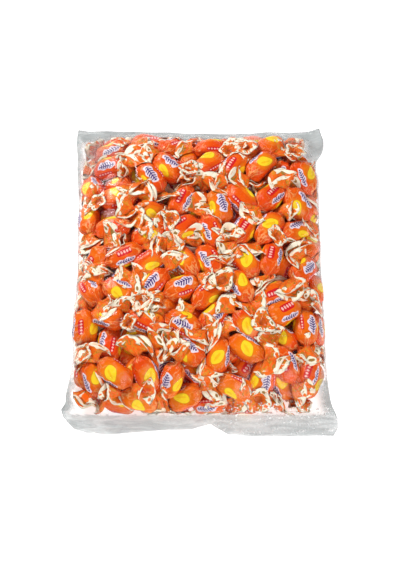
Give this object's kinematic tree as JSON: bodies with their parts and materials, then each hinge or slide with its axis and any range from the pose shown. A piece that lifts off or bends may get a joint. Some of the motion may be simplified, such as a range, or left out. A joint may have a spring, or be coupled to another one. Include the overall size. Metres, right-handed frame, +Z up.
{
  "type": "bag of filled hard candies",
  "caption": "Clear sealed pillow bag full of twist-wrapped filled hard candies, lying on its back: domed heap of candies, flat header and foot film with curled corners.",
  "frame": {"origin": "centre of the box's bottom face: on the table, under the middle of the bag", "axes": "+Z up from the table, +Y towards the header seal, +X to the right of a viewer at the foot"},
  "size_m": [0.224, 0.278, 0.045],
  "materials": {
    "orange_wrapper": "orange printed plastic wrapper with yellow ovals and a pale band, glossy with soft creases",
    "twist_end": "creamy white pleated twist ends of the wrapper, with orange-brown at the neck",
    "clear_film": "clear crinkled bag film, slightly grey where it lies double"
  },
  "bodies": {
    "root": {"candy_bag": "orange_wrapper"}
  },
  "joints": []
}
